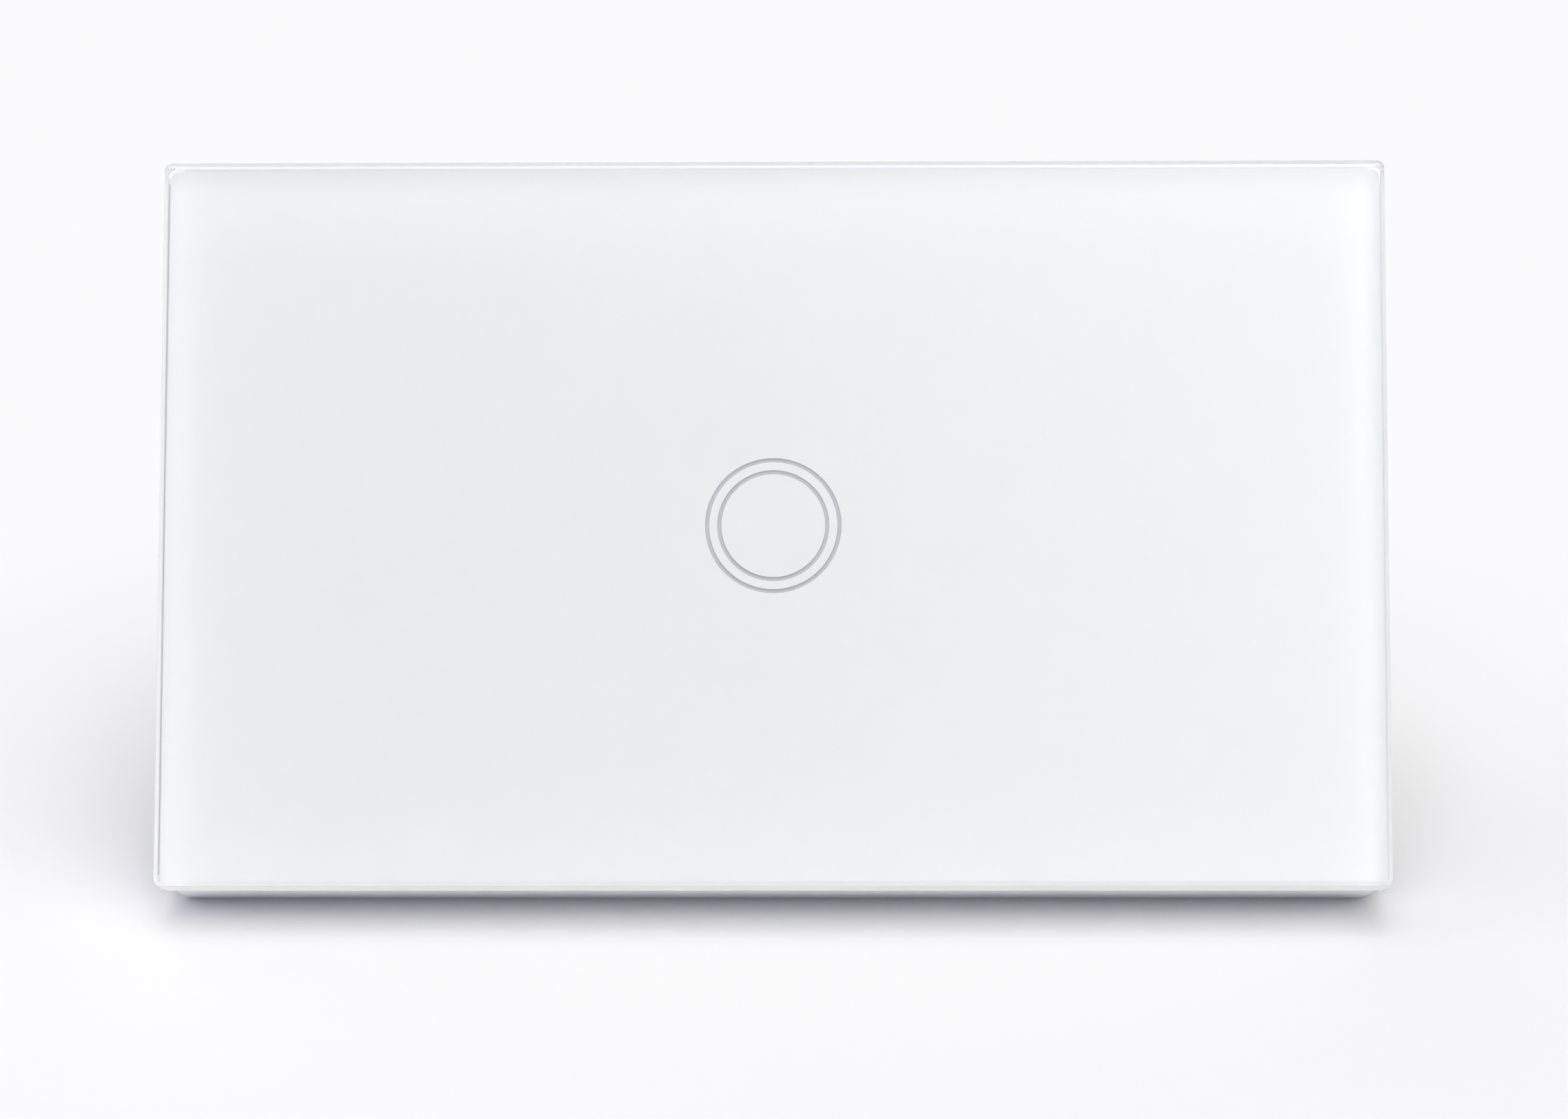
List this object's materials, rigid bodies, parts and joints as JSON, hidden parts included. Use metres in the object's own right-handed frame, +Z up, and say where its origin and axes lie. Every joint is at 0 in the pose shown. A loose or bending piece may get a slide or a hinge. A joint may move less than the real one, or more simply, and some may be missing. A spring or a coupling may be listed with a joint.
{
  "type": "touch light switch",
  "caption": "Landscape touch light switch: white back-printed glass panel with a ring mark on a push-fit frame, over a steel strap and a rear housing with a relay and screw terminals.",
  "frame": {"origin": "centre of the wall plane, midway between the two screw slots on the rear face of the mounting strap", "axes": "+Z up, the glass faces -Y, the housing runs back into the wall box along +Y, +X to the right as the glass is looked at"},
  "size_m": [0.12, 0.041, 0.0716],
  "materials": {
    "clear_glass": "polished, ground edges",
    "white_ink": "fired white enamel on the back of the glass",
    "grey_ink": "translucent grey enamel",
    "foam_tape": "acrylic foam tape",
    "white_frame_plastic": "moulded, semi-gloss",
    "white_cover_plastic": "moulded, fine spark texture",
    "zinc_steel": "zinc plated",
    "screw_steel": "nickel plated",
    "board_green": "solder mask",
    "black_moulding": "moulded epoxy",
    "spring_gold": "gold flash",
    "frosted_guide": "frosted acrylic",
    "led_lens": "clear epoxy",
    "pin_brass": "plated",
    "soft_iron": "nickel plated iron",
    "ivory_bobbin": "moulded nylon",
    "copper_wire": "enamelled wire",
    "blue_case": "moulded",
    "terminal_green": "moulded nylon",
    "yellow_box": "epoxy filled box",
    "navy_sleeve": "shrunk sleeve",
    "ferrite": "ground ferrite",
    "yellow_tape": "polyester tape",
    "brown_moulding": "moulded",
    "blue_epoxy": "dipped epoxy",
    "housing_grey": "moulded flame-retardant plastic"
  },
  "bodies": {
    "base": {"mounting_strap": "zinc_steel", "strap_screws": "screw_steel", "front_cover": "white_cover_plastic", "cover_screws": "screw_steel", "touch_board": "board_green", "board_screws": "screw_steel", "touch_chip": "black_moulding", "touch_spring": "spring_gold", "light_guide": "frosted_guide", "indicator_leds": "led_lens", "link_strip": "black_moulding", "link_pins": "pin_brass", "link_socket": "black_moulding", "power_board": "board_green", "relay_base": "black_moulding", "relay_yoke": "soft_iron", "relay_core": "soft_iron", "relay_bobbin": "ivory_bobbin", "relay_winding": "copper_wire", "relay_fixed_contact": "pin_brass", "relay_case": "blue_case", "terminal_block": "terminal_green", "contact_bars": "pin_brass", "film_capacitor": "yellow_box", "can_capacitors": "navy_sleeve", "bridge_rectifier": "black_moulding", "transformer_core": "ferrite", "transformer_winding": "yellow_tape", "fuse": "brown_moulding", "varistor": "blue_epoxy", "rear_housing": "housing_grey"},
    "panel": {"glass_panel": "clear_glass", "white_print": "white_ink", "ring_marks": "grey_ink", "bond_tape": "foam_tape", "panel_frame": "white_frame_plastic"},
    "armature": {"relay_armature": "soft_iron", "relay_moving_contact": "pin_brass"},
    "screw_left": {"terminal_screw_left": "screw_steel"},
    "screw_middle": {"terminal_screw_middle": "screw_steel"},
    "screw_right": {"terminal_screw_right": "screw_steel"},
    "cage_left": {"clamp_cage_left": "zinc_steel"},
    "cage_middle": {"clamp_cage_middle": "zinc_steel"},
    "cage_right": {"clamp_cage_right": "zinc_steel"}
  },
  "joints": [
    {"name": "panel_pull", "type": "slide", "parent": "base", "child": "panel", "axis": [0, -1, 0], "range_m": [0, 0.04]},
    {"name": "armature_swing", "type": "hinge", "parent": "base", "child": "armature", "pos_m": [-0.02225, 0.0232, 0.01175], "axis": [0, 0, -1], "range_deg": [0, 4], "stiffness_Nm_per_rad": 0.02, "springref_deg": -5.73},
    {"name": "screw_turn_left", "type": "hinge", "parent": "base", "child": "screw_left", "pos_m": [-0.01, 0.02, -0.01505], "axis": [0, -1, 0], "range_deg": [0, 1728]},
    {"name": "screw_turn_middle", "type": "hinge", "parent": "base", "child": "screw_middle", "pos_m": [0, 0.02, -0.01505], "axis": [0, -1, 0], "range_deg": [0, 1728]},
    {"name": "screw_turn_right", "type": "hinge", "parent": "base", "child": "screw_right", "pos_m": [0.01, 0.02, -0.01505], "axis": [0, -1, 0], "range_deg": [0, 1728]},
    {"name": "cage_rise_left", "type": "slide", "parent": "base", "child": "cage_left", "axis": [0, 1, 0], "range_m": [0, 0.0024]},
    {"name": "cage_rise_middle", "type": "slide", "parent": "base", "child": "cage_middle", "axis": [0, 1, 0], "range_m": [0, 0.0024]},
    {"name": "cage_rise_right", "type": "slide", "parent": "base", "child": "cage_right", "axis": [0, 1, 0], "range_m": [0, 0.0024]}
  ],
  "couplings": [
    {"joint": "screw_turn_left", "follows": "cage_rise_left", "rad_per_m": 12566},
    {"joint": "screw_turn_middle", "follows": "cage_rise_middle", "rad_per_m": 12566},
    {"joint": "screw_turn_right", "follows": "cage_rise_right", "rad_per_m": 12566}
  ]
}
